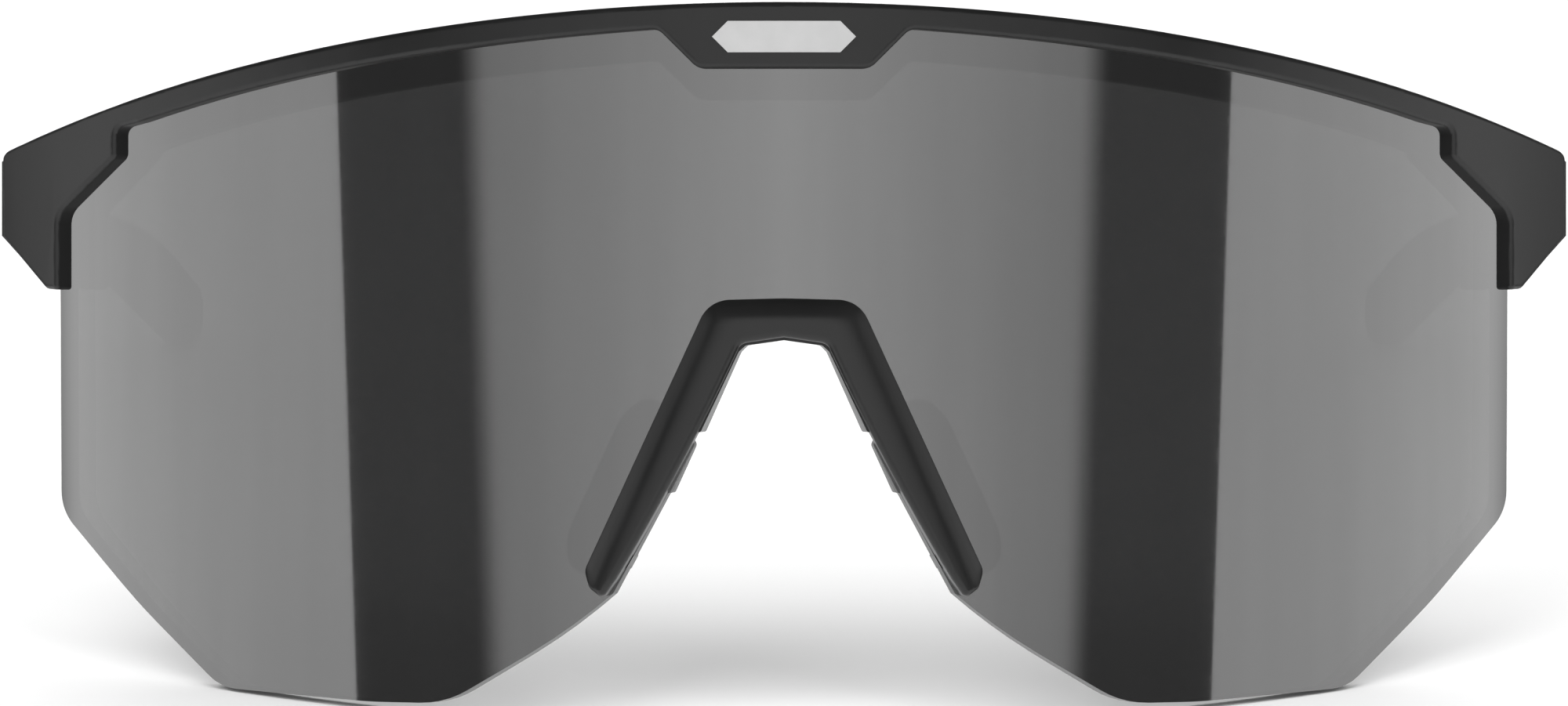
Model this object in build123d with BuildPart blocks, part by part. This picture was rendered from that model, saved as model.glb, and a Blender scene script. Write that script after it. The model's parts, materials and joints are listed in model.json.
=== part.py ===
"""Wraparound sport sunglasses: a half-rim top frame, one cylindrical shield lens, a clip-on nosepiece
with two adjustable pads, and two folding temples.

Every piece is first drawn in the lens's upright frame, in millimetres: X to the wearer's left, Y
backwards from the foremost point of the lens, Z up from the lens's lowest edge. The finished pieces are
then laid down in the attitude in which the open glasses rest on a table, on the two lower corners of the
lens and on the two temple tips.
"""

from math import atan2, cos, degrees, radians, sin
import os

from build123d import *

os.makedirs("parts", exist_ok=True)

# ---------------------------------------------------------------- driving dimensions

HALF_WIDTH = 70.0

# The lens is a plate of even thickness on an upright cylinder.
LENS_RADIUS = 86.0
LENS_THICKNESS = 2.0
LENS_BACK_RADIUS = LENS_RADIUS - LENS_THICKNESS

# The frame is a channel over the lens's top edge: a front lip, a groove and a rear lip.
FRAME_RADIUS = LENS_RADIUS + 1.8
FRAME_BACK_RADIUS = LENS_BACK_RADIUS - 2.0
REAR_LIP_EXTRA = 2.6
REAR_CHEEK_EXTRA = 1.6
REAR_TUCK = 0.6
GROOVE_PLAY = 0.06
BROW_ROUNDING = 0.5

# The nosepiece grips the edge of the lens's nose cut-out from both sides.
NOSE_RADIUS = LENS_RADIUS + 2.2
NOSE_WEB_RADIUS = LENS_RADIUS + 1.0
NOSE_BACK_RADIUS = LENS_BACK_RADIUS - 2.2
NOSE_ROUNDING = 0.7

# The inlay stands in a pocket of its own shape.
BADGE_LENGTH = 12.4
BADGE_HEIGHT = 2.7
BADGE_CENTRE_Z = 57.65
BADGE_PROUD = 0.12
BADGE_THICKNESS = 0.7

# Hinges: two frame knuckles with the temple's knuckle between them, on one screw.
HINGE_X = 65.0
HINGE_Y = 45.5
HINGE_Z = 44.4
KNUCKLE_RADIUS = 1.9
KNUCKLE_HEIGHT = 1.55
KNUCKLE_GAP = 0.1
HINGE_RELIEF_RADIUS = 2.35
SCREW_RADIUS = 0.7
SCREW_PLAY = 0.05
SCREW_HEAD_RADIUS = 1.3
SCREW_HEAD_HEIGHT = 0.7
SCREW_HEAD_ROUNDING = 0.25
SCREW_SLOT_WIDTH = 0.35
LEAF_THICKNESS = 1.6
LEAF_LENGTH = 6.5
PARTING_GAP = 0.24

# Temples.
SLEEVE_START_Y = 118.0
SLEEVE_PROUD = 0.22
TONGUE_LENGTH = 22.0
TONGUE_INSET = 1.0
TEMPLE_ROUNDING = 1.2
CORE_RADIUS = 0.7

# Nose pads: each turns on the straight middle of a staple of wire, held in a lug behind the nosepiece.
PAD_LENGTH = 16.5
PAD_WIDTH = 7.6
PAD_THICKNESS = 2.6
PAD_ROUNDING = 0.9
PAD_SPLAY = 28.0
WIRE_RADIUS = 0.55
WIRE_PLAY = 0.05
WIRE_BEND = 1.1
LUG_LENGTH = 3.4
LUG_RADIUS = 1.35

# How the open glasses rest: the depth and height of the lens's lower corner and of the temple tip.
FOOT_Y = 17.4
FOOT_Z = 1.15
TIP_Y = 174.2
TIP_Z = 31.5

# ---------------------------------------------------------------- outlines of the front, right half

BROW_LINE = ((0, 60.66), (34.1, 58.1), (58.2, 52.6), (68.8, 48.8))
CHEEK_OUTSIDE = ((HALF_WIDTH, 48.3), (HALF_WIDTH - 0.1, 40.7), (65.75, 36.1), (64.62, 36.0))
CHEEK_INSIDE = ((64.62, 42.75), (59.12, 47.7), (59.12, 50.3))
CHEEK_ROUNDINGS = (0.9, 0.3, 0.5, 0.3, 2.2, 0.9, 0.9)
LIP_LINE = ((57.0, 50.78), (41.0, 54.7), (25.8, 57.0), (12.4, 58.22))
PLATE_CORNERS = ((10.9, 58.32), (7.45, 54.9), (0, 54.9))
PLATE_ROUNDINGS = (1.2, 1.6)

LENS_TOP_LINE = ((0, 59.6), (34.1, 57.05), (59.6, 51.2))
LENS_SIDE = ((64.45, 46.2), (64.3, 16.4), (57.0, 8.3), (49.4, 1.05), (36.0, 0.05), (29.4, 0), (23.8, 3.3))
LENS_SIDE_ROUNDINGS = (1.5, 4.5, 60.0, 4.0, 20.0, 8.0)
NOSE_FLANK = ((20.3, 5.45), (14.75, 9.62))
LENS_NOTCH = ((13.62, 11.75), (14.35, 12.15), (13.72, 13.3), (12.97, 12.9))
TAB = ((10.0, 18.3), (9.6, 18.35), (7.55, 22.75), (8.9, 23.3))
CUTOUT_TOP = ((5.6, 33.1), (0, 33.1))
CUTOUT_ROUNDINGS = (0.25, 0.25, 0.5, 0.4, 1.6)

NOSE_OUTSIDE = ((0, 35.12), (6.55, 34.95), (17.4, 11.7), (16.9, 10.1), (15.72, 9.2))
NOSE_OUTSIDE_ROUNDINGS = (2.9, 1.0, 0.8, 0.5)
NOSE_INSIDE = ((14.6, 10.8), (9.2, 20.3), (4.75, 29.1))
NOSE_BAR_UNDERSIDE = ((3.75, 31.2), (0, 31.75))
WEB_INSIDE = ((8.9, 23.6), (7.2, 23.55), (3.9, 30.5), (3.3, 31.05), (0, 31.5))
NOSE_BACK_INSIDE = ((14.9, 13.6), (9.2, 25.2), (6.6, 30.6))

# ---------------------------------------------------------------- outlines of a temple

TEMPLE_TOP = ((80.0, 45.95), (118.0, 43.6))
TEMPLE_BOTTOM = ((118.0, 38.65), (80.0, 40.2))
TEMPLE_ROOT_TOP = (HINGE_Y + PARTING_GAP / 2, 47.95)
TEMPLE_ROOT_BOTTOM = (HINGE_Y + PARTING_GAP / 2, 40.9)
SLEEVE_TOP = ((118.0, 43.85), (150.0, 41.4), (172.4, 37.9))
SLEEVE_NOSE = (176.0, 34.35)
SLEEVE_BOTTOM = ((172.0, 31.35), (150.0, 34.85), (118.0, 38.4))
TEMPLE_OUTSIDE = ((69.9, HINGE_Y + PARTING_GAP / 2), (69.75, 80.0), (68.75, 111.0), (66.5, 145.0))
TEMPLE_INSIDE = ((62.45, 145.0), (65.2, 111.0), (65.45, 80.0), (HINGE_X, HINGE_Y + PARTING_GAP / 2))
TEMPLE_OUTSIDE_END = (63.3, 177.0)
TEMPLE_INSIDE_END = (59.75, 177.0)
TONGUE_SIDE = ((117.0, 42.5), (140.0, 40.9), (140.0, 36.7), (117.0, 39.8))
CORE_PATH = ((66.85, 96.0, 42.35), (65.75, 132.0, 39.9), (62.1, 167.0, 35.75))


def brow_outline(rear_lip=False):
    """The right half of the frame, seen from the front. The rear lip reaches further down the lens."""
    drop = REAR_LIP_EXTRA if rear_lip else 0
    inward = REAR_CHEEK_EXTRA if rear_lip else 0
    tuck = REAR_TUCK if rear_lip else 0
    shrink = 1 - tuck / HALF_WIDTH
    crown = [(x * shrink, z - tuck) for x, z in BROW_LINE]
    corner, *foot = CHEEK_OUTSIDE
    outside = [(corner[0] * shrink, corner[1] - tuck)] + [(x * shrink, z + tuck) for x, z in foot]
    inside = [(x - inward, z - inward / 2) for x, z in CHEEK_INSIDE[:2]]
    shoulder = (CHEEK_INSIDE[2][0] - inward, CHEEK_INSIDE[2][1] - drop)
    lip_start = (LIP_LINE[0][0] - inward, LIP_LINE[0][1] - drop + inward / 4)
    with BuildSketch() as outline:
        with BuildLine():
            brow = Spline(*crown, tangents=[(1, 0), (0.93, -0.37)])
            cheek = FilletPolyline(
                brow @ 1, *outside, *inside, shoulder, lip_start, radius=CHEEK_ROUNDINGS
            )
            lip = Spline(cheek @ 1, *[(x, z - drop) for x, z in LIP_LINE[1:]])
            corners = [(x, z - drop) for x, z in PLATE_CORNERS]
            plate = FilletPolyline(lip @ 1, *corners, radius=PLATE_ROUNDINGS)
            Line(plate @ 1, brow @ 0)
        make_face()
    return outline.sketch


def lens_outline():
    """The right half of the lens: arched top, straight side, long lower corners, and the nose cut-out
    with a notch for the nosepiece's snap and a tab that stops it from sliding."""
    with BuildSketch() as outline:
        with BuildLine():
            top = Spline(*LENS_TOP_LINE, tangents=[(1, 0), (0.95, -0.32)])
            side = FilletPolyline(top @ 1, *LENS_SIDE, radius=LENS_SIDE_ROUNDINGS)
            flank = Spline(side @ 1, *NOSE_FLANK, tangents=[side % 1, (-0.76, 0.65)])
            cutout = FilletPolyline(flank @ 1, *TAB, *CUTOUT_TOP, radius=CUTOUT_ROUNDINGS)
            Line(cutout @ 1, top @ 0)
        make_face()
        with BuildLine():
            Polyline(*LENS_NOTCH, close=True)
        make_face(mode=Mode.SUBTRACT)
    return outline.sketch


def nose_outline():
    """The right half of the nosepiece's front: a bar over the nose and a rounded leg."""
    with BuildSketch() as outline:
        with BuildLine():
            outside = FilletPolyline(*NOSE_OUTSIDE, NOSE_INSIDE[0], radius=NOSE_OUTSIDE_ROUNDINGS[:4])
            inside = ThreePointArc(outside @ 1, *NOSE_INSIDE[1:])
            under = FilletPolyline(inside @ 1, *NOSE_BAR_UNDERSIDE, radius=1.0)
            Line(under @ 1, outside @ 0)
        make_face()
    return outline.sketch


def nose_web_outline():
    """The right half of the part of the nosepiece that passes through the cut-out."""
    with BuildSketch() as outline:
        with BuildLine():
            upper = Polyline((0, NOSE_OUTSIDE[0][1] - 1), (5.6, NOSE_OUTSIDE[0][1] - 1), WEB_INSIDE[0])
            lower = FilletPolyline(upper @ 1, *WEB_INSIDE[1:], radius=(0.3, 0.6, 0.5))
            Line(lower @ 1, upper @ 0)
        make_face()
    return outline.sketch


def nose_back_outline():
    """The right half of the nosepiece's flange behind the lens, narrower at the foot than the front."""
    with BuildSketch() as outline:
        with BuildLine():
            outside = FilletPolyline(
                (0, NOSE_OUTSIDE[0][1]), (6.3, 34.8), (16.4, 13.2), NOSE_BACK_INSIDE[0], radius=(2.6, 0.5)
            )
            inside = Polyline(outside @ 1, *NOSE_BACK_INSIDE[1:], (0, 31.5))
            Line(inside @ 1, outside @ 0)
        make_face()
    return outline.sketch


# ---------------------------------------------------------------- shared ways of making solids

DRUM_HEIGHT = 80.0
DRUM_BASE = -5.0
DRUM_DEPTH = 53.0
DRUM_WIDTH = 80.0
SAME_RADIUS = 0.001


def wrapped(half, radius, depth, rounding=0):
    """A plate on an upright cylinder about the lens's axis: the half outline and its mirror image as
    they are seen from the front, carried inwards by the depth along the surface's normals, with the
    edges of its front face rounded."""
    with BuildPart() as drum:
        with BuildSketch(Plane.XZ.offset(NOSE_RADIUS - LENS_RADIUS + 1)):
            add(half)
            mirror(about=Plane.YZ)
        extrude(amount=-DRUM_DEPTH)
        with BuildSketch(Plane.XY.offset(DRUM_BASE)):
            with Locations((0, LENS_RADIUS)):
                Circle(radius)
        extrude(amount=DRUM_HEIGHT, mode=Mode.INTERSECT)
    with BuildPart() as plate:
        for face in drum.faces().filter_by(GeomType.CYLINDER):
            if abs(face.radius - radius) < SAME_RADIUS and face.center().Y < LENS_RADIUS / 2:
                thicken(face, amount=-depth)
        if rounding:
            curved = plate.faces().filter_by(GeomType.CYLINDER)
            front = [face for face in curved if abs(face.radius - radius) < SAME_RADIUS]
            fillet([edge for face in front for edge in face.outer_wire().edges()], radius=rounding)
    return plate.part


REST_TILT = atan2(TIP_Z - FOOT_Z, TIP_Y - FOOT_Y)
BACKWARD_SHIFT = -90.3
REST_RISE = FOOT_Y * sin(REST_TILT) - FOOT_Z * cos(REST_TILT)
REST = Location((0, BACKWARD_SHIFT, REST_RISE), (-degrees(REST_TILT), 0, 0))


def write(upright, name):
    """Lays the finished piece down in its resting attitude, labels it and writes it."""
    with BuildPart() as piece:
        with Locations(REST):
            add(upright, clean=False)
    piece.part.label = name
    export_step(piece.part, f"parts/{name}.step")


def write_pair(left, name):
    """Writes a piece of the wearer's left side, and its mirror image for the right."""
    with BuildPart() as right:
        mirror(left, about=Plane.YZ)
    write(left, f"{name}_left")
    write(right.part, f"{name}_right")


# ---------------------------------------------------------------- hinges, wearer's left

KNUCKLE_STEP = KNUCKLE_HEIGHT + KNUCKLE_GAP
HINGE_BASE = HINGE_Z - 1.5 * KNUCKLE_HEIGHT - KNUCKLE_GAP
HINGE_TOP = HINGE_Z + 1.5 * KNUCKLE_HEIGHT + KNUCKLE_GAP
LEAF_X = HINGE_X + KNUCKLE_RADIUS - LEAF_THICKNESS / 2
SCREW_TOP = HINGE_TOP + SCREW_HEAD_HEIGHT

with BuildPart() as hinge_screw:
    with BuildSketch(Plane.XY.offset(HINGE_BASE)):
        with Locations((HINGE_X, HINGE_Y)):
            Circle(SCREW_RADIUS)
    extrude(amount=HINGE_TOP - HINGE_BASE)
    with BuildSketch(Plane.XY.offset(HINGE_TOP)):
        with Locations((HINGE_X, HINGE_Y)):
            Circle(SCREW_HEAD_RADIUS)
    extrude(amount=SCREW_HEAD_HEIGHT)
    fillet(hinge_screw.edges().group_by(Axis.Z)[-1], radius=SCREW_HEAD_ROUNDING)
    with BuildSketch(Plane.XY.offset(SCREW_TOP)):
        with Locations((HINGE_X, HINGE_Y)):
            Rectangle(2 * SCREW_HEAD_RADIUS, SCREW_SLOT_WIDTH)
    extrude(amount=-SCREW_HEAD_HEIGHT / 2, mode=Mode.SUBTRACT)

with BuildPart() as frame_hinge:
    for base in (HINGE_BASE, HINGE_BASE + 2 * KNUCKLE_STEP):
        with BuildSketch(Plane.XY.offset(base)):
            with Locations((HINGE_X, HINGE_Y)):
                Circle(KNUCKLE_RADIUS)
        extrude(amount=KNUCKLE_HEIGHT)
    with BuildSketch(Plane.XY.offset(HINGE_BASE)):
        with Locations((LEAF_X, HINGE_Y - LEAF_LENGTH / 2)):
            Rectangle(LEAF_THICKNESS, LEAF_LENGTH)
    extrude(amount=HINGE_TOP - HINGE_BASE)
    with BuildSketch(Plane.XY.offset(HINGE_BASE + KNUCKLE_HEIGHT)):
        with Locations((HINGE_X, HINGE_Y)):
            Circle(HINGE_RELIEF_RADIUS)
    extrude(amount=KNUCKLE_STEP + KNUCKLE_GAP, mode=Mode.SUBTRACT)
    with BuildSketch(Plane.XY.offset(HINGE_BASE)):
        with Locations((HINGE_X, HINGE_Y)):
            Circle(SCREW_RADIUS)
    extrude(amount=HINGE_TOP - HINGE_BASE, mode=Mode.SUBTRACT)

with BuildPart() as temple_hinge:
    with BuildSketch(Plane.XY.offset(HINGE_BASE)):
        with Locations((LEAF_X, HINGE_Y + LEAF_LENGTH / 2)):
            Rectangle(LEAF_THICKNESS, LEAF_LENGTH)
    extrude(amount=HINGE_TOP - HINGE_BASE)
    with BuildSketch(Plane.XY.offset(HINGE_BASE)):
        with Locations((HINGE_X, HINGE_Y)):
            Circle(HINGE_RELIEF_RADIUS)
    extrude(amount=HINGE_TOP - HINGE_BASE, mode=Mode.SUBTRACT)
    with BuildSketch(Plane.XY.offset(HINGE_BASE + KNUCKLE_STEP)):
        with Locations((HINGE_X, HINGE_Y)):
            Circle(KNUCKLE_RADIUS)
        with Locations((LEAF_X, HINGE_Y + KNUCKLE_RADIUS)):
            Rectangle(LEAF_THICKNESS, 2 * KNUCKLE_RADIUS)
        with Locations((HINGE_X, HINGE_Y)):
            Circle(SCREW_RADIUS + SCREW_PLAY, mode=Mode.SUBTRACT)
    extrude(amount=KNUCKLE_HEIGHT)

with BuildPart() as hinge_relief:
    with BuildSketch(Plane.XY.offset(HINGE_BASE - KNUCKLE_GAP)):
        with Locations((HINGE_X, HINGE_Y)):
            Circle(HINGE_RELIEF_RADIUS)
    extrude(amount=SCREW_TOP - HINGE_BASE + 3 * KNUCKLE_GAP)

write_pair(hinge_screw.part, "hinge_screw")
write_pair(frame_hinge.part, "frame_hinge")
write_pair(temple_hinge.part, "temple_hinge")

# ---------------------------------------------------------------- lens

with BuildPart() as shield_lens:
    add(wrapped(lens_outline(), LENS_RADIUS, LENS_THICKNESS))

write(shield_lens.part, "shield_lens")

# ---------------------------------------------------------------- brow frame and its inlay

END_FACE_Y = HINGE_Y - PARTING_GAP / 2
CHEEK_FRONT_X = 66.6
CHEEK_FRONT_Y = 31.6
CHEEK_CORNER_Y = LENS_RADIUS - (FRAME_RADIUS**2 - HALF_WIDTH**2) ** 0.5
CHEEK_INNER_CORNER_Z = 36.3
CHEEK_SIDE_START_Y = 26.0
CHEEK_SIDE = (
    (CHEEK_SIDE_START_Y, 35),
    (37.6, 35),
    (41.6, TEMPLE_ROOT_BOTTOM[1]),
    (END_FACE_Y, TEMPLE_ROOT_BOTTOM[1]),
    (END_FACE_Y, TEMPLE_ROOT_TOP[1]),
    (35.5, 50.4),
    (CHEEK_SIDE_START_Y, 52),
)
CHEEK_INSET = 0.04
BLOCK_OUTSIDE = HALF_WIDTH - CHEEK_INSET
CHEEK_BLOCK = (
    (58.2, 52.4),
    (68.7, 48.7),
    (BLOCK_OUTSIDE, 47.5),
    (BLOCK_OUTSIDE, TEMPLE_ROOT_BOTTOM[1]),
    (65.7, CHEEK_INNER_CORNER_Z),
    (64, CHEEK_INNER_CORNER_Z),
)
CHEEK_HOLLOW_Y = 36.3

with BuildPart() as cheek:
    with BuildSketch():
        with BuildLine():
            Polyline(
                (CHEEK_FRONT_X, CHEEK_FRONT_Y),
                (BLOCK_OUTSIDE, CHEEK_CORNER_Y + BROW_ROUNDING),
                (BLOCK_OUTSIDE, END_FACE_Y),
                (HINGE_X, END_FACE_Y),
                (HINGE_X, CHEEK_HOLLOW_Y),
                close=True,
            )
        make_face()
    extrude(amount=DRUM_HEIGHT)
    with BuildSketch(Plane.XZ):
        with BuildLine():
            Polyline(*CHEEK_BLOCK, close=True)
        make_face()
    extrude(amount=-DRUM_DEPTH, mode=Mode.INTERSECT)
    with BuildSketch(Plane.YZ):
        with BuildLine():
            Polyline(*CHEEK_SIDE, close=True)
        make_face()
    extrude(amount=DRUM_WIDTH, mode=Mode.INTERSECT)

with BuildSketch() as badge_outline:
    with BuildLine():
        half = BADGE_LENGTH / 2
        tip = BADGE_HEIGHT / 2
        Polyline(
            (0, BADGE_CENTRE_Z + tip),
            (half - tip, BADGE_CENTRE_Z + tip),
            (half, BADGE_CENTRE_Z),
            (half - tip, BADGE_CENTRE_Z - tip),
            (0, BADGE_CENTRE_Z - tip),
            close=True,
        )
    make_face()

with BuildPart() as brow_badge:
    add(wrapped(badge_outline.sketch, FRAME_RADIUS + BADGE_PROUD, BADGE_THICKNESS))

with BuildSketch() as groove_outline:
    add(lens_outline())
    offset(amount=GROOVE_PLAY)

with BuildPart() as brow_frame:
    add(wrapped(brow_outline(), FRAME_RADIUS, FRAME_RADIUS - FRAME_BACK_RADIUS, BROW_ROUNDING))
    add(wrapped(brow_outline(rear_lip=True), LENS_BACK_RADIUS, LENS_BACK_RADIUS - FRAME_BACK_RADIUS))
    add(cheek.part)
    mirror(cheek.part, about=Plane.YZ)
    add(
        wrapped(groove_outline.sketch, LENS_RADIUS + GROOVE_PLAY, LENS_THICKNESS + 2 * GROOVE_PLAY),
        mode=Mode.SUBTRACT,
    )
    add(brow_badge.part, mode=Mode.SUBTRACT)
    for piece in (hinge_relief, frame_hinge):
        add(piece.part, mode=Mode.SUBTRACT)
        mirror(piece.part, about=Plane.YZ, mode=Mode.SUBTRACT)

write(brow_frame.part, "brow_frame")
write(brow_badge.part, "brow_badge")

# ---------------------------------------------------------------- nosepiece

LEG_FOOT = Vector(15.3, 0, 10.9)
LEG_TOP = Vector(6.5, 0, 30.0)
LEG_DIRECTION = (LEG_TOP - LEG_FOOT).normalized()
LUG_CENTRE = Vector(11.9, 7.6, 19.4)
LUG_PLANE = Plane(origin=LUG_CENTRE, x_dir=(0, 1, 0), z_dir=LEG_DIRECTION)
LUG_TUCK = 1.0
SNAP_PROUD = 0.2
SNAP_DEPTH = LENS_THICKNESS + 3 * SNAP_PROUD

with BuildPart() as nose_lug:
    with BuildSketch(LUG_PLANE.offset(-LUG_LENGTH / 2)):
        Circle(LUG_RADIUS)
        with Locations((-LUG_RADIUS, 0)):
            Rectangle(3 * LUG_RADIUS, 2 * LUG_RADIUS)
        with Locations((LUG_RADIUS / 2 + LUG_RADIUS, 0)):
            Rectangle(LUG_RADIUS, 2 * LUG_RADIUS, mode=Mode.SUBTRACT)
    extrude(amount=LUG_LENGTH)
    with BuildSketch(Plane.XY.offset(DRUM_BASE)):
        with Locations((0, LENS_RADIUS)):
            Circle(LENS_BACK_RADIUS - LUG_TUCK)
    extrude(amount=DRUM_HEIGHT, mode=Mode.INTERSECT)

with BuildPart() as wire_bore:
    with BuildSketch(LUG_PLANE.offset(-LUG_LENGTH)):
        Circle(WIRE_RADIUS + WIRE_PLAY)
    extrude(amount=2 * LUG_LENGTH)

with BuildSketch() as snap_outline:
    with BuildLine():
        Polyline(*LENS_NOTCH, close=True)
    make_face()

with BuildPart() as nosepiece:
    add(wrapped(nose_outline(), NOSE_RADIUS, NOSE_RADIUS - LENS_RADIUS, NOSE_ROUNDING))
    add(wrapped(nose_web_outline(), NOSE_WEB_RADIUS, NOSE_WEB_RADIUS - NOSE_BACK_RADIUS))
    add(wrapped(nose_back_outline(), LENS_BACK_RADIUS, LENS_BACK_RADIUS - NOSE_BACK_RADIUS))
    add(nose_lug.part)
    mirror(nose_lug.part, about=Plane.YZ)
    add(wrapped(snap_outline.sketch, LENS_RADIUS + SNAP_PROUD, SNAP_DEPTH))
    add(shield_lens.part, mode=Mode.SUBTRACT)
    add(wire_bore.part, mode=Mode.SUBTRACT)
    mirror(wire_bore.part, about=Plane.YZ, mode=Mode.SUBTRACT)

write(nosepiece.part, "nosepiece")

# ---------------------------------------------------------------- nose pads, wearer's left

PAD_INWARD = Vector(-cos(radians(PAD_SPLAY)), sin(radians(PAD_SPLAY)), 0)
PAD_NORMAL = (PAD_INWARD - LEG_DIRECTION * PAD_INWARD.dot(LEG_DIRECTION)).normalized()
PAD_CENTRE = Vector(14.2, 13.2, 18.6)
PAD_PLANE = Plane(origin=PAD_CENTRE, x_dir=LEG_DIRECTION, z_dir=PAD_NORMAL)
WIRE_OUTSIDE_LUG = 1.7
WIRE_HALF = LUG_LENGTH / 2 + WIRE_OUTSIDE_LUG
WIRE_REACH = Vector(0.62, 3.6, 0)

with BuildPart() as pad_core:
    with BuildLine():
        staple = FilletPolyline(
            LUG_CENTRE + LEG_DIRECTION * WIRE_HALF + WIRE_REACH,
            LUG_CENTRE + LEG_DIRECTION * WIRE_HALF,
            LUG_CENTRE - LEG_DIRECTION * WIRE_HALF,
            LUG_CENTRE - LEG_DIRECTION * WIRE_HALF + WIRE_REACH,
            radius=WIRE_BEND,
        )
    with BuildSketch(Plane(origin=staple @ 0, z_dir=staple % 0)):
        Circle(WIRE_RADIUS)
    sweep()

with BuildPart() as nose_pad:
    with BuildSketch(PAD_PLANE.offset(-PAD_THICKNESS / 2)):
        SlotOverall(PAD_LENGTH, PAD_WIDTH)
    extrude(amount=PAD_THICKNESS)
    rims = nose_pad.faces().filter_by(Plane(origin=PAD_CENTRE, z_dir=PAD_NORMAL))
    fillet(rims.edges(), radius=PAD_ROUNDING)
    add(pad_core.part, mode=Mode.SUBTRACT)

write_pair(pad_core.part, "nose_pad_core")
write_pair(nose_pad.part, "nose_pad")

# ---------------------------------------------------------------- temples, wearer's left


def temple_plan(proud):
    """Seen from above: the arm bows out over the temple of the head and closes in behind the ear. Each
    side stands the given distance further out."""
    outside = [(x + proud, y) for x, y in (*TEMPLE_OUTSIDE, TEMPLE_OUTSIDE_END)]
    inside = [(x - proud, y) for x, y in (TEMPLE_INSIDE_END, *TEMPLE_INSIDE)]
    with BuildSketch() as plan:
        with BuildLine():
            outer = Spline(*outside, tangents=[(0, 1), (-0.14, 1)])
            inner = Spline(*inside, tangents=[(0.12, -1), (0, -1)])
            Line(outer @ 1, inner @ 0)
            Line(inner @ 1, outer @ 0)
        make_face()
    return plan.sketch


def is_long(edge):
    """True for the edges that run along a temple."""
    return edge.length > TONGUE_LENGTH


with BuildPart() as arm_blank:
    with BuildSketch(Plane.YZ):
        with BuildLine():
            top = Spline(TEMPLE_ROOT_TOP, *TEMPLE_TOP, (150.0, 41.6))
            end = Line(top @ 1, (150.0, 36.9))
            bottom = Spline(end @ 1, *TEMPLE_BOTTOM, TEMPLE_ROOT_BOTTOM)
            Line(bottom @ 1, top @ 0)
        make_face()
    extrude(amount=HALF_WIDTH + 5)
    with BuildSketch(Plane.XY):
        add(temple_plan(0))
    extrude(amount=DRUM_HEIGHT, mode=Mode.INTERSECT)

with BuildPart() as temple_core:
    with BuildLine():
        run = ThreePointArc(*CORE_PATH)
    with BuildSketch(Plane(origin=run @ 0, z_dir=run % 0)):
        Circle(CORE_RADIUS)
    sweep()

with BuildPart() as sleeve_blank:
    with BuildSketch(Plane.YZ):
        with BuildLine():
            top = Spline(*SLEEVE_TOP)
            nose = ThreePointArc(top @ 1, SLEEVE_NOSE, SLEEVE_BOTTOM[0])
            bottom = Spline(nose @ 1, *SLEEVE_BOTTOM[1:])
            Line(bottom @ 1, top @ 0)
        make_face()
    extrude(amount=HALF_WIDTH + 5)
    with BuildSketch(Plane.XY):
        add(temple_plan(SLEEVE_PROUD))
    extrude(amount=DRUM_HEIGHT, mode=Mode.INTERSECT)
    fillet(sleeve_blank.edges().filter_by(is_long), radius=TEMPLE_ROUNDING)

with BuildPart() as tongue:
    with BuildSketch(Plane.YZ):
        with BuildLine():
            Polyline(*TONGUE_SIDE, close=True)
        make_face()
    extrude(amount=HALF_WIDTH + 5)
    with BuildSketch(Plane.XY):
        add(temple_plan(-TONGUE_INSET))
    extrude(amount=DRUM_HEIGHT, mode=Mode.INTERSECT)

with BuildPart() as temple_arm:
    add(arm_blank.part)
    fillet(temple_arm.edges().filter_by(is_long), radius=TEMPLE_ROUNDING)
    split(bisect_by=Plane.XZ.offset(-SLEEVE_START_Y), keep=Keep.TOP)
    add(tongue.part)
    add(hinge_relief.part, mode=Mode.SUBTRACT)
    add(temple_hinge.part, mode=Mode.SUBTRACT)
    add(temple_core.part, mode=Mode.SUBTRACT)

with BuildPart() as temple_tip:
    add(sleeve_blank.part)
    add(tongue.part, mode=Mode.SUBTRACT)
    add(temple_core.part, mode=Mode.SUBTRACT)

write_pair(temple_arm.part, "temple_arm")
write_pair(temple_core.part, "temple_core")
write_pair(temple_tip.part, "temple_tip")
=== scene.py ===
"""Wraparound sport sunglasses on a pale floor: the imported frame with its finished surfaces, lit so
that the mirrored shield shows a broad soft light, a dark band on each side and the side lights.

Lengths are in metres and angles in radians, unless a comment says otherwise."""

import json
import math

import bmesh
import bpy
from mathutils import Matrix, Vector


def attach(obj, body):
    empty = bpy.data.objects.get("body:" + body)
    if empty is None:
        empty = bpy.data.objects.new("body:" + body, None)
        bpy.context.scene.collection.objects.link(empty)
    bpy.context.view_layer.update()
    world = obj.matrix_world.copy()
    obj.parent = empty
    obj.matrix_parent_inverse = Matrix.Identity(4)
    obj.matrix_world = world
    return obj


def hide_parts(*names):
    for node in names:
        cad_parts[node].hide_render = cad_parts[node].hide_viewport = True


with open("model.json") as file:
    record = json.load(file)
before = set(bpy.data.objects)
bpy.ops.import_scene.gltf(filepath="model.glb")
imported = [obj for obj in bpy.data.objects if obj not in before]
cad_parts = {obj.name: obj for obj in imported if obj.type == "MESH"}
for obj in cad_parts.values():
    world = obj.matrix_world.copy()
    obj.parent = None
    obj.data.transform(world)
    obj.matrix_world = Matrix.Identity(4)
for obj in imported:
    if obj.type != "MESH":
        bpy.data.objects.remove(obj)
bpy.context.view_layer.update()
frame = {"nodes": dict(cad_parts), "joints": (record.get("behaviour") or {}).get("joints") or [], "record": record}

MM = 0.001
JOINTS = {joint["name"]: joint for joint in frame["joints"]}
SIDES = (("left", 1), ("right", -1))  # the wearer's, with the sign of x

# ---------------------------------------------------------------- the lens's upright frame

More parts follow.
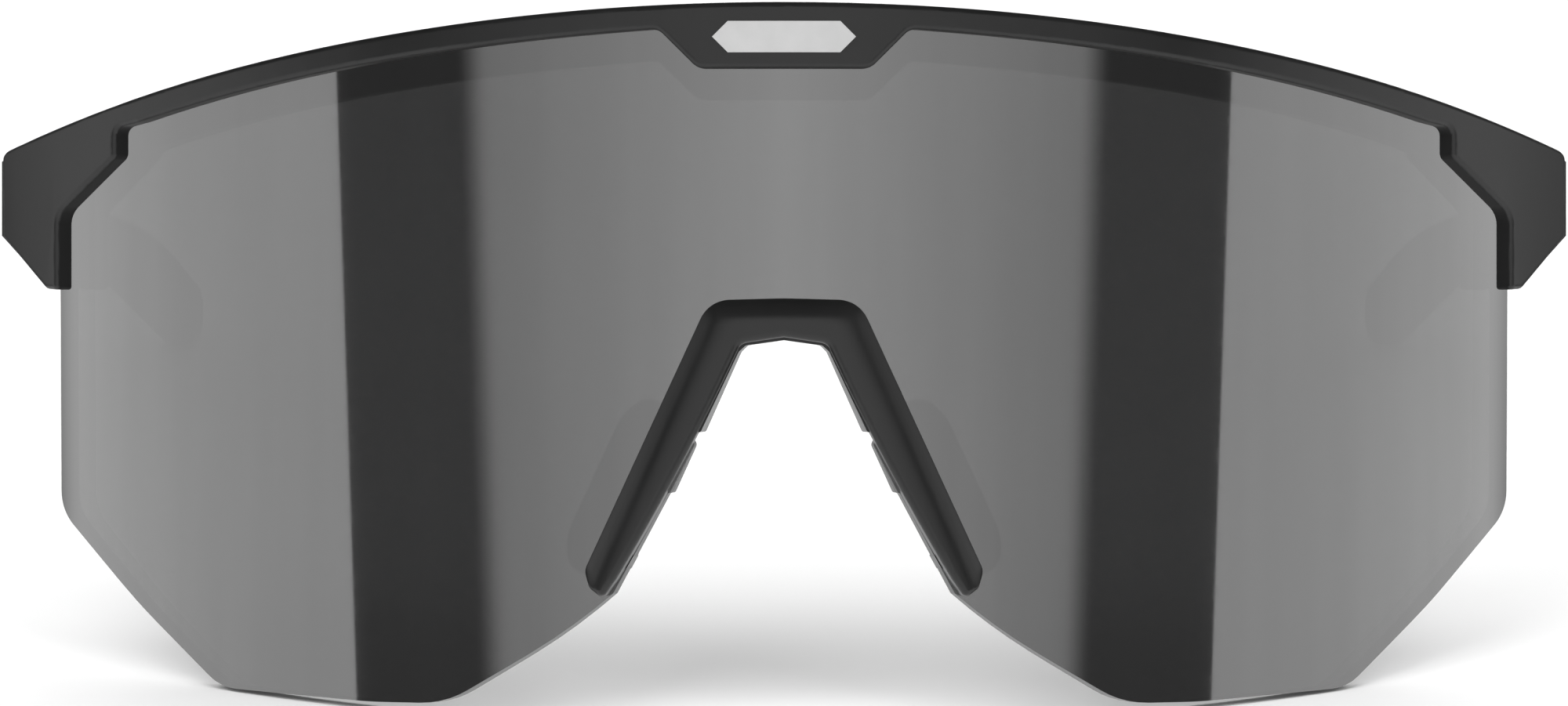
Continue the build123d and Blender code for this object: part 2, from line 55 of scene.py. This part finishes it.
# The glasses as they face the camera: x to the wearer's left, y backward from the lens's foremost
# line, z up along the axis of the lens's cylinder. The left hinge, whose place is known in both
# frames, ties it to the shared frame.
LENS_RADIUS = 86 * MM
HINGE_UPRIGHT = Vector((65, 45.5, 44.4)) * MM

hinge = JOINTS["temple_fold_left"]
up = Vector(hinge["axis"]).normalized()
back = Vector((1, 0, 0)).cross(up) * -1
UPRIGHT = Matrix(((1, back.x, up.x), (0, back.y, up.y), (0, back.z, up.z))).to_4x4()
UPRIGHT.translation = Vector(hinge["pos_m"]) - UPRIGHT.to_3x3() @ HINGE_UPRIGHT
DOWN = UPRIGHT.inverted()
TURN = UPRIGHT.to_3x3()
TURN_BACK = TURN.transposed()


def place(x, y, z):
    """A point of the lens's upright frame, in the shared frame."""
    return UPRIGHT @ Vector((x, y, z))


def add_object(name, data):
    made = bpy.data.objects.new(name, data)
    bpy.context.scene.collection.objects.link(made)
    return made


# ---------------------------------------------------------------- materials


def grey(level):
    return (level,) * 3


class Material:
    """A node material with a Principled shader and short calls for what feeds it."""

    def __init__(self, name, **sockets):
        self.material = bpy.data.materials.new(name)
        self.material.use_nodes = True
        self.nodes = self.material.node_tree.nodes
        self.links = self.material.node_tree.links
        self.shader = self.nodes["Principled BSDF"]
        self.output = self.nodes["Material Output"]
        for socket, value in sockets.items():
            self.shader.inputs[socket.replace("_", " ")].default_value = value
        self.place = self.nodes.new("ShaderNodeTexCoord").outputs["Object"]

    def add(self, kind, **inputs):
        node = self.nodes.new(kind)
        for socket, value in inputs.items():
            self.feed(node.inputs[socket.replace("_", " ")], value)
        return node

    def feed(self, socket, value):
        if isinstance(value, bpy.types.NodeSocket):
            self.links.new(value, socket)
        else:
            socket.default_value = value

    def noise(self, size, detail, roughness, stretch=(1, 1, 1)):
        """Noise of a grain size; most of its values lie between 0.3 and 0.7."""
        scaled = self.add("ShaderNodeMapping", Vector=self.place, Scale=stretch)
        made = self.add("ShaderNodeTexNoise", Vector=scaled.outputs[0], Scale=1 / size)
        made.inputs["Detail"].default_value = detail
        made.inputs["Roughness"].default_value = roughness
        return made.outputs["Fac"]

    def span(self, value, low, high, to_low, to_high):
        """The value, taken from one range to another and held at its ends."""
        made = self.add("ShaderNodeMapRange", Value=value)
        numbers = {"From Min": low, "From Max": high, "To Min": to_low, "To Max": to_high}
        for socket, number in numbers.items():
            made.inputs[socket].default_value = number
        return made.outputs["Result"]

    def ramp(self, value, *stops):
        made = self.add("ShaderNodeValToRGB", Fac=value)
        elements = made.color_ramp.elements
        while len(elements) < len(stops):
            elements.new(0.5)
        for element, (position, colour) in zip(elements, stops):
            element.position = position
            element.color = (*colour, 1)
        return made.outputs["Color"]

    def bump(self, height, distance, strength):
        made = self.add("ShaderNodeBump", Height=height, Distance=distance, Strength=strength)
        return made.outputs["Normal"]

    def set(self, socket, value):
        self.feed(self.shader.inputs[socket], value)


GRAIN_ROUGHENS = 0.08


def moulded_plastic(name, dark, light, rough, grain, depth):
    """Spark-eroded moulded nylon: near black, with a fine even grain and a faint cloudiness in its
    gloss."""
    made = Material(name, IOR=1.54)
    cloud = made.noise(9 * MM, 3, 0.5)
    fine = made.noise(grain, 2, 0.55)
    made.set("Base Color", made.ramp(cloud, (0.3, dark), (0.7, light)))
    mottled = made.add("ShaderNodeMath")
    mottled.operation = "MULTIPLY_ADD"
    made.feed(mottled.inputs[0], fine)
    mottled.inputs[1].default_value = GRAIN_ROUGHENS
    made.feed(mottled.inputs[2], made.span(cloud, 0.3, 0.7, rough - 0.05, rough + 0.01))
    made.set("Roughness", mottled.outputs[0])
    made.set("Normal", made.bump(fine, depth, 0.6))
    return made.material


def soft_rubber(name, dark, light):
    """Matte elastomer with a dusty bloom."""
    made = Material(name, IOR=1.45)
    made.shader.inputs["Sheen Weight"].default_value = 0.12
    made.shader.inputs["Sheen Roughness"].default_value = 0.5
    cloud = made.noise(5 * MM, 4, 0.6)
    fine = made.noise(0.12 * MM, 3, 0.6)
    made.set("Base Color", made.ramp(cloud, (0.3, dark), (0.72, light)))
    made.set("Roughness", made.span(fine, 0.2, 0.8, 0.62, 0.8))
    made.set("Normal", made.bump(fine, 0.02 * MM, 0.7))
    return made.material


def plated_steel(name, dark, light, rough):
    """Turned and plated steel with fine tool marks across it."""
    made = Material(name, Metallic=1.0)
    streaks = made.noise(0.4 * MM, 5, 0.7, stretch=(1, 1, 9))
    made.set("Base Color", made.ramp(streaks, (0.3, dark), (0.7, light)))
    made.set("Roughness", made.span(streaks, 0.3, 0.7, rough - 0.08, rough + 0.1))
    made.set("Normal", made.bump(streaks, 0.006 * MM, 0.5))
    return made.material


def pale_inlay(name, dark, light):
    """Pale, half matte plastic."""
    made = Material(name, IOR=1.5)
    fine = made.noise(0.15 * MM, 3, 0.6)
    cloud = made.noise(3 * MM, 3, 0.5)
    made.set("Base Color", made.ramp(cloud, (0.3, dark), (0.7, light)))
    made.set("Roughness", made.span(fine, 0.3, 0.7, 0.32, 0.45))
    made.set("Normal", made.bump(fine, 0.01 * MM, 0.5))
    return made.material


CUT_EDGE = "cut_edge"
LENS_CLEAR = 0.12
CLEAR_TINT = grey(0.95)
MIRROR_LOW = grey(0.25)
MIRROR_HIGH = grey(0.27)
SMOKE_LOW = grey(0.02)
SMOKE_HIGH = grey(0.03)


def mirrored_lens(name):
    """Smoke polycarbonate under a silver mirror coat. Each face lets about an eighth of the light
    through, and the coat varies a little in faint upright streaks, as evaporated coats do. The cut
    edge of the sheet shows the smoke tint alone."""
    made = Material(name, Metallic=1.0)
    cloud = made.noise(22 * MM, 2, 0.4)
    dust = made.noise(1.3 * MM, 6, 0.75)
    streaks = made.noise(3.2 * MM, 3, 0.6, stretch=(1, 0.1, 0.03))
    blended = made.add("ShaderNodeMath")
    blended.operation = "ADD"
    made.feed(blended.inputs[0], made.span(cloud, 0.3, 0.7, 0.0, 0.4))
    made.feed(blended.inputs[1], made.span(streaks, 0.3, 0.7, 0.0, 0.6))
    made.set("Base Color", made.ramp(blended.outputs[0], (0.0, MIRROR_LOW), (1.0, MIRROR_HIGH)))
    made.set("Roughness", made.span(dust, 0.45, 0.8, 0.035, 0.06))
    clear = made.nodes.new("ShaderNodeBsdfTransparent")
    clear.inputs["Color"].default_value = (*CLEAR_TINT, 1)
    mixed = made.add("ShaderNodeMixShader", Fac=LENS_CLEAR)
    made.links.new(made.shader.outputs[0], mixed.inputs[1])
    made.links.new(clear.outputs[0], mixed.inputs[2])
    smoke = made.nodes.new("ShaderNodeBsdfPrincipled")
    made.feed(smoke.inputs["Base Color"], made.ramp(dust, (0.3, SMOKE_LOW), (0.7, SMOKE_HIGH)))
    smoke.inputs["Roughness"].default_value = 0.35
    marked = made.nodes.new("ShaderNodeAttribute")
    marked.attribute_name = CUT_EDGE
    whole = made.add("ShaderNodeMixShader", Fac=marked.outputs["Fac"])
    made.links.new(mixed.outputs[0], whole.inputs[1])
    made.links.new(smoke.outputs[0], whole.inputs[2])
    made.links.new(whole.outputs[0], made.output.inputs["Surface"])
    return made.material


NYLON = moulded_plastic("frame_nylon", grey(0.006), grey(0.009), 0.34, 0.1 * MM, 0.006 * MM)
NOSE_NYLON = moulded_plastic("nose_nylon", grey(0.006), grey(0.009), 0.3, 0.09 * MM, 0.004 * MM)
RUBBER = soft_rubber("soft_rubber", grey(0.016), grey(0.022))
STEEL = plated_steel("hinge_steel", grey(0.16), grey(0.24), 0.34)
WIRE = plated_steel("core_wire", grey(0.5), grey(0.6), 0.25)
INLAY = pale_inlay("inlay", grey(0.42), grey(0.46))
LENS = mirrored_lens("lens")

FINISH = {
    "frame_nylon": NYLON,
    "nose_nylon": NOSE_NYLON,
    "soft_rubber": RUBBER,
    "hinge_steel": STEEL,
    "core_wire": WIRE,
    "inlay": INLAY,
    "lens": LENS,
}


def dress(obj, material):
    obj.data.materials.clear()
    obj.data.materials.append(material)


SLOTS = {part["node"]: part["material_slot"] for part in frame["record"]["subparts"]}
for node, obj in frame["nodes"].items():
    dress(obj, FINISH[SLOTS[node]])

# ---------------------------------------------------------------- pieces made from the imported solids

SHARP = math.radians(32)
CUT_STEP = 2.5 * MM
CUT_REACH = 66 * MM  # of arc from the middle: beyond it the cheeks are straight
CUT_TOLERANCE = 1e-7
MERGE_DISTANCE = 0.0005 * MM


def unrolled(point):
    """A point of the shared frame as arc length round the lens's axis, distance from it, and
    height."""
    upright = DOWN @ point
    ahead = LENS_RADIUS - upright.y
    arc = math.atan2(upright.x, ahead) * LENS_RADIUS
    return Vector((arc, math.hypot(upright.x, ahead), upright.z))


def rolled(flat):
    """The way back from unrolled."""
    turn = flat.x / LENS_RADIUS
    return place(flat.y * math.sin(turn), LENS_RADIUS - flat.y * math.cos(turn), flat.z)


def cut(work, point, normal):
    """Cuts every face a plane passes through, leaving the shape as it is."""
    everything = [*work.verts, *work.edges, *work.faces]
    bmesh.ops.bisect_plane(
        work, geom=everything, plane_co=point, plane_no=normal, dist=CUT_TOLERANCE
    )


def copy_of(node, name, wrapped=False):
    """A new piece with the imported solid's mesh. A wrapped piece gets regular upright cuts, each
    laid on its true arc about the lens's axis."""
    made = add_object(name, frame["nodes"][node].data.copy())
    work = bmesh.new()
    work.from_mesh(made.data)
    bmesh.ops.remove_doubles(work, verts=work.verts, dist=MERGE_DISTANCE)
    if wrapped:
        for vertex in work.verts:
            vertex.co = unrolled(vertex.co)
        reach = int(min(CUT_REACH, max(abs(vertex.co.x) for vertex in work.verts)) / CUT_STEP)
        for i in range(-reach, reach + 1):
            cut(work, (i * CUT_STEP, 0, 0), (1, 0, 0))
        for vertex in work.verts:
            vertex.co = rolled(vertex.co)
    work.to_mesh(made.data)
    work.free()
    return made


def smooth_by_angle(mesh, angle=SHARP):
    for polygon in mesh.polygons:
        polygon.use_smooth = True
    mesh.set_sharp_from_angle(angle=angle)


OWN_SHARE = 0.01  # a little of the face itself, so that no corner's sum is empty


def shade_by_area(mesh, angle):
    """At each corner, the mean of the faces that meet there within the angle, weighted by their
    areas, so that slivers between large faces leave no mark."""
    smooth_by_angle(mesh, angle)
    limit = math.cos(angle)
    around = [[] for _ in mesh.vertices]
    for polygon in mesh.polygons:
        for vertex in polygon.vertices:
            around[vertex].append((polygon.normal.copy(), polygon.area))
    normals = []
    for polygon in mesh.polygons:
        own = polygon.normal
        for vertex in polygon.vertices:
            total = own * polygon.area * OWN_SHARE
            for normal, area in around[vertex]:
                if normal.dot(own) > limit:
                    total = total + normal * area
            normals.append(total.normalized())
    mesh.normals_split_custom_set(normals)


def finished(made, body, node, material, angle=SHARP):
    """Shades a piece, gives it its finish and puts it in the solid's place."""
    shade_by_area(made.data, angle)
    dress(made, material)
    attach(made, body)
    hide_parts(node)


CURVED_FACE = 0.99  # of a unit normal along the radius: the rest is the sheet's cut edge


def make_lens():
    """The shield, with exact normals on both curved faces."""
    made = copy_of("shield_lens", "shield", wrapped=True)
    mesh = made.data
    smooth_by_angle(mesh)
    cut_edge = mesh.attributes.new(CUT_EDGE, "FLOAT", "FACE")
    normals = []
    for polygon in mesh.polygons:
        centre = DOWN @ polygon.center
        radial = Vector((centre.x, centre.y - LENS_RADIUS, 0)).normalized()
        facing = (TURN_BACK @ polygon.normal).dot(radial)
        curved = abs(facing) > CURVED_FACE
        cut_edge.data[polygon.index].value = 0.0 if curved else 1.0
        for loop in polygon.loop_indices:
            if curved:
                point = DOWN @ mesh.vertices[mesh.loops[loop].vertex_index].co
                out = Vector((point.x, point.y - LENS_RADIUS, 0)).normalized()
                normals.append(TURN @ out * (1 if facing > 0 else -1))
            else:
                normals.append(polygon.normal.copy())
    mesh.normals_split_custom_set(normals)
    dress(made, LENS)
    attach(made, "front")
    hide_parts("shield_lens")


# In mm: the nosepiece's outer edge on one side, as x and z of the upright frame, from the middle of
# the bar to the foot of the leg, and how its front rolls down toward that edge.
NOSE_RADIUS = 88.2
NOSE_EDGE = ((0, 35.05), (6.55, 34.95), (17.4, 11.7))
EDGE_TIGHTNESS = (1.35, 1.0)
PILLOW_WIDTH = 2.9
PILLOW_DROP = 1.2
PILLOW_POWER = 2.5
PILLOW_CUTS = 12
PILLOW_BLEND = 0.5
FAR_OUTSIDE = -2
NOSE_SHARP = math.radians(50)


def nose_edge_stretches():
    """Each straight stretch of the outer edge: its start, the way inward from it and how much
    tighter the pillow is along it."""
    for start, end, tightness in zip(NOSE_EDGE, NOSE_EDGE[1:], EDGE_TIGHTNESS):
        along = (Vector(end) - Vector(start)).normalized()
        yield start, Vector((along.y, -along.x)), tightness


def inside_nose_edge(x, z):
    """How far inside the outer edge a point is, blended where two stretches meet."""
    spread = 0.0
    for start, inward, tightness in nose_edge_stretches():
        distance = (Vector((x, z)) - Vector(start)).dot(inward) * tightness
        spread += math.exp(-max(distance, FAR_OUTSIDE) / PILLOW_BLEND)
    return max(0.0, -PILLOW_BLEND * math.log(spread))


def make_nosepiece():
    """The nosepiece's front is a pillow: its outer flank rolls down from the middle to the lens.
    The mesh is worked in mm of the upright frame."""
    made = copy_of("nosepiece", "nose_bridge", wrapped=True)
    work = bmesh.new()
    work.from_mesh(made.data)
    for vertex in work.verts:
        vertex.co = DOWN @ vertex.co / MM
    for start, inward, tightness in nose_edge_stretches():
        for i in range(1, PILLOW_CUTS + 1):
            inside = PILLOW_WIDTH * i / PILLOW_CUTS / tightness
            x = start[0] + inward.x * inside
            z = start[1] + inward.y * inside
            cut(work, (x, 0, z), (inward.x, 0, inward.y))
            cut(work, (-x, 0, z), (-inward.x, 0, inward.y))
    axis = LENS_RADIUS / MM
    for vertex in work.verts:
        x, y, z = vertex.co
        away = math.hypot(x, axis - y)
        inside = inside_nose_edge(abs(x), z)
        if inside < PILLOW_WIDTH:
            wanted = NOSE_RADIUS - PILLOW_DROP * (1 - inside / PILLOW_WIDTH) ** PILLOW_POWER
            if away > wanted:
                vertex.co.x = x * wanted / away
                vertex.co.y = axis - (axis - y) * wanted / away
        vertex.co = place(*(vertex.co * MM))
    work.to_mesh(made.data)
    work.free()
    finished(made, "front", "nosepiece", NOSE_NYLON, NOSE_SHARP)


make_lens()
make_nosepiece()

brow = copy_of("brow_frame", "brow", wrapped=True)
brow.visible_glossy = False
finished(brow, "front", "brow_frame", NYLON)
for side, _ in SIDES:
    arm = copy_of(f"temple_arm_{side}", f"arm_{side}")
    finished(arm, f"temple_{side}", f"temple_arm_{side}", NYLON)
    for node in ("frame_hinge", "temple_hinge", "hinge_screw"):
        smooth_by_angle(frame["nodes"][f"{node}_{side}"].data)

# ---------------------------------------------------------------- soft pieces

RELAX = 0.5
SLEEVE_VOXEL = 0.35 * MM
SLEEVE_ROUNDS = 6
PAD_VOXEL = 0.22 * MM
PAD_ROUNDS = 5


def remeshed(node, name, voxel, rounds):
    """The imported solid's outer shape as an even, softened mesh."""
    made = copy_of(node, name)
    bpy.context.view_layer.objects.active = made
    remesh = made.modifiers.new("even", "REMESH")
    remesh.mode = "VOXEL"
    remesh.voxel_size = voxel
    relax = made.modifiers.new("relax", "SMOOTH")
    relax.factor = RELAX
    relax.iterations = rounds
    graph = bpy.context.evaluated_depsgraph_get()
    mesh = bpy.data.meshes.new_from_object(made.evaluated_get(graph))
    made.modifiers.clear()
    made.data = mesh
    for polygon in mesh.polygons:
        polygon.use_smooth = True
    return made


RIB_PITCH = 2.6 * MM
RIB_DEPTH = 0.22 * MM
RIB_START = 140 * MM
RIB_END = 168 * MM
RIB_RUNOUT = 2 * MM
RIB_SLANT = 0.35
RIB_FACING = 0.35
RIB_FACING_RISE = 3


def make_temple_tip(side, sign):
    """The rubber sleeve, with shallow grip ribs on the face that lies against the head."""
    made = remeshed(f"temple_tip_{side}", f"grip_sleeve_{side}", SLEEVE_VOXEL, SLEEVE_ROUNDS)
    for vertex in made.data.vertices:
        point = DOWN @ vertex.co
        inward = -(TURN_BACK @ vertex.normal).x * sign
        if inward > RIB_FACING and RIB_START < point.y < RIB_END:
            ends = min(1.0, min(point.y - RIB_START, RIB_END - point.y) / RIB_RUNOUT)
            rise = min(1.0, (inward - RIB_FACING) * RIB_FACING_RISE)
            along = point.y + RIB_SLANT * point.z
            wave = max(0.0, math.sin(2 * math.pi * along / RIB_PITCH))
            vertex.co -= vertex.normal * RIB_DEPTH * wave * ends * rise
    dress(made, RUBBER)
    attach(made, f"temple_{side}")
    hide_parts(f"temple_tip_{side}")


def make_nose_pad(side):
    """The soft pad, which gives where it lies on the nose."""
    made = remeshed(f"nose_pad_{side}", f"soft_pad_{side}", PAD_VOXEL, PAD_ROUNDS)
    dress(made, RUBBER)
    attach(made, f"nose_pad_body_{side}")
    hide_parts(f"nose_pad_{side}")


for side, sign in SIDES:
    make_temple_tip(side, sign)
    make_nose_pad(side)

# ---------------------------------------------------------------- camera, square onto the lens

CAMERA_DISTANCE = 900 * MM
EYE_HEIGHT = 30.4 * MM
SENSOR = 36.0  # in mm, as is the focal length
FOCAL_LENGTH = 239.598
CLIP_START = 0.05
CLIP_END = 60

camera_data = bpy.data.cameras.new("camera")
camera_data.sensor_width = SENSOR
camera_data.lens = FOCAL_LENGTH
camera_data.clip_start = CLIP_START
camera_data.clip_end = CLIP_END
camera = add_object("camera", camera_data)
ahead_of_lens = Matrix.Translation((0, -CAMERA_DISTANCE, EYE_HEIGHT))
camera.matrix_world = UPRIGHT @ ahead_of_lens @ Matrix.Rotation(math.pi / 2, 4, "X")
bpy.context.scene.camera = camera

# ---------------------------------------------------------------- studio


def glowing(name, layer):
    """A material that gives off the colours of a mesh's colour layer."""
    material = bpy.data.materials.new(name)
    material.use_nodes = True
    nodes = material.node_tree.nodes
    links = material.node_tree.links
    nodes.remove(nodes["Principled BSDF"])
    emission = nodes.new("ShaderNodeEmission")
    emission.inputs["Strength"].default_value = 1.0
    colours = nodes.new("ShaderNodeVertexColor")
    colours.layer_name = layer
    links.new(colours.outputs["Color"], emission.inputs["Color"])
    links.new(emission.outputs[0], nodes["Material Output"].inputs["Surface"])
    return material


def eased(share):
    """From 0 to 1 with soft ends."""
    return share * share * (3 - 2 * share)


# The wall of light: its angles are in degrees off straight ahead, and LEAN in degrees per metre.
WALL_RADIUS = 800 * MM
WALL_BOTTOM = -300 * MM
WALL_TOP = 480 * MM
WALL_FULL = 230 * MM
WALL_ROWS = 26
WALL_STEP = 1.0
WALL_END = 160.0
EDGE_WIDTH = 0.03
TONE = "tone"
LEAN = 28.1
LEAN_LEVEL = 25 * MM
LEAN_FROM = 25.0


def seen_at(lens_x):
    """Where on the wall of light the camera looks by way of the lens's face this far from its
    middle: the angle off straight ahead, in degrees."""
    theta = math.asin(lens_x / LENS_RADIUS)
    depth = LENS_RADIUS * (1 - math.cos(theta))
    way = 2 * theta + math.atan(lens_x / (CAMERA_DISTANCE + depth))
    aside = lens_x * math.cos(way) + depth * math.sin(way)
    return math.degrees(way + math.asin(aside / WALL_RADIUS))


# What the wall shows, from the middle out: the softbox and its soft edge, the dark flag, the side
# light, and past the lens's end the dimmer room.
SOFTBOX_FULL = seen_at(24.6 * MM)
SOFTBOX_EDGE = seen_at(27.4 * MM)
SIDE_EDGE = seen_at(38.1 * MM)
MIDDLE_LIGHT = 1.0
SOFTBOX_LIGHT = 0.58
FLAG_LIGHT = 0.087
SIDE_LIGHT = 0.9
SIDE_RISE = 0.5
SIDE_SPAN = 43.0
LENS_END = seen_at(62.6 * MM)
FAR_LIGHT = 0.25
FAR_FADE = 8.0


def brightness(angle):
    """How bright the studio is at an angle off straight ahead."""
    angle = abs(angle)
    if angle < SOFTBOX_EDGE:
        broad = MIDDLE_LIGHT + (SOFTBOX_LIGHT - MIDDLE_LIGHT) * angle / SOFTBOX_FULL
        fade = min(1.0, (SOFTBOX_EDGE - angle) / (SOFTBOX_EDGE - SOFTBOX_FULL))
        return FLAG_LIGHT + (broad - FLAG_LIGHT) * eased(fade)
    if angle < SIDE_EDGE:
        return FLAG_LIGHT
    beside = SIDE_LIGHT + SIDE_RISE * ((min(angle, LENS_END) - SIDE_EDGE) / SIDE_SPAN) ** 2
    past = min(1.0, max(0.0, angle - LENS_END) / FAR_FADE)
    return beside + (FAR_LIGHT - beside) * eased(past)


def make_light_wall():
    """A wall of light round the front that only reflections show: a broad soft light, a dark flag
    on each side of it and the side lights. The flags' edges lean, and the lights fade out upward."""
    mesh = bpy.data.meshes.new("light_wall")
    work = bmesh.new()
    tone = work.loops.layers.float_color.new(TONE)
    count = round(2 * WALL_END / WALL_STEP)
    angles = [WALL_STEP * i - WALL_END for i in range(count + 1)]
    for edge in (-SIDE_EDGE, -SOFTBOX_EDGE, SOFTBOX_EDGE, SIDE_EDGE):
        angles += [edge - EDGE_WIDTH, edge + EDGE_WIDTH]
    angles.sort()
    tall = WALL_TOP - WALL_BOTTOM
    heights = [WALL_BOTTOM + tall * i / WALL_ROWS for i in range(WALL_ROWS + 1)]
    grid = {}
    for i, angle in enumerate(angles):
        for j, height in enumerate(heights):
            lean = LEAN * (height - LEAN_LEVEL) * min(1.0, abs(angle) / LEAN_FROM)
            turned = math.radians(angle + (lean if angle > 0 else -lean))
            aside = WALL_RADIUS * math.sin(turned)
            ahead = -WALL_RADIUS * math.cos(turned)
            grid[i, j] = work.verts.new(place(aside, ahead, height))
    for i in range(len(angles) - 1):
        for j in range(WALL_ROWS):
            corners = ((i, j), (i + 1, j), (i + 1, j + 1), (i, j + 1))
            face = work.faces.new([grid[corner] for corner in corners])
            for loop, (column, row) in zip(face.loops, corners):
                fade = min(1.0, (WALL_TOP - heights[row]) / (WALL_TOP - WALL_FULL))
                loop[tone] = (*grey(brightness(angles[column]) * fade), 1)
    work.to_mesh(mesh)
    work.free()
    wall = add_object("light_wall", mesh)
    dress(wall, glowing("light_wall", TONE))
    wall.visible_camera = False
    wall.visible_diffuse = False
    wall.visible_shadow = False
    wall.visible_transmission = False


FLOOR_REACH = 12.0
PAPER_LOW = grey(0.86)
PAPER_HIGH = grey(0.88)
FLOOR_GLOWS_FROM = 0.7
FLOOR_GLOWS_FULL = 2.0


def make_floor():
    """A sheet of pale paper that brightens into the room far from the object."""
    mesh = bpy.data.meshes.new("floor")
    around = ((-1, -1), (1, -1), (1, 1), (-1, 1))
    corners = [(x * FLOOR_REACH, y * FLOOR_REACH, 0) for x, y in around]
    mesh.from_pydata(corners, [], [(0, 1, 2, 3)])
    floor = add_object("floor", mesh)
    made = Material("floor_paper", Roughness=0.9)
    made.set("Specular IOR Level", 0.1)
    grain = made.noise(0.8, 3, 0.5)
    made.set("Base Color", made.ramp(grain, (0.3, PAPER_LOW), (0.7, PAPER_HIGH)))
    far = made.add("ShaderNodeVectorMath", Vector=made.place)
    far.operation = "LENGTH"
    made.set("Emission Color", (1, 1, 1, 1))
    brightens = made.span(far.outputs["Value"], FLOOR_GLOWS_FROM, FLOOR_GLOWS_FULL, 0.0, 1.0)
    made.set("Emission Strength", brightens)
    dress(floor, made.material)
    floor.visible_glossy = False


LIGHTS_AIM = Vector((0, 0, 0.03))


def area_light(name, position, size, power):
    data = bpy.data.lights.new(name, "AREA")
    data.shape = "RECTANGLE"
    data.size, data.size_y = size
    data.energy = power
    light = add_object(name, data)
    light.location = position
    light.rotation_mode = "QUATERNION"
    light.rotation_quaternion = (LIGHTS_AIM - Vector(position)).to_track_quat("-Z", "Y")
    light.visible_camera = False
    light.visible_glossy = False


ROOM_HORIZON = 1.0
ROOM_CEILING = 0.06
ROOM_DIMS_FROM = 0.12
ROOM_DIMS_FULL = 0.5


def make_room():
    """A white room, bright round the horizon and dim overhead."""
    world = bpy.data.worlds.new("studio")
    world.use_nodes = True
    nodes = world.node_tree.nodes
    links = world.node_tree.links
    coordinate = nodes.new("ShaderNodeTexCoord")
    apart = nodes.new("ShaderNodeSeparateXYZ")
    level = nodes.new("ShaderNodeMapRange")
    level.inputs["From Min"].default_value = ROOM_DIMS_FROM
    level.inputs["From Max"].default_value = ROOM_DIMS_FULL
    level.inputs["To Min"].default_value = ROOM_HORIZON
    level.inputs["To Max"].default_value = ROOM_CEILING
    links.new(coordinate.outputs["Generated"], apart.inputs[0])
    links.new(apart.outputs["Z"], level.inputs["Value"])
    links.new(level.outputs["Result"], nodes["Background"].inputs["Strength"])
    nodes["Background"].inputs["Color"].default_value = (1, 1, 1, 1)
    bpy.context.scene.world = world


make_light_wall()
make_floor()
# position in m, size in m, power in W
area_light("key", (-1.0, -1.2, 1.9), (2.2, 2.2), 46)
area_light("fill", (1.3, -0.9, 1.8), (2.2, 2.2), 36)
area_light("rear", (0.1, 1.9, 1.9), (2.6, 2.0), 52)
make_room()
bpy.context.scene.view_settings.view_transform = "Standard"
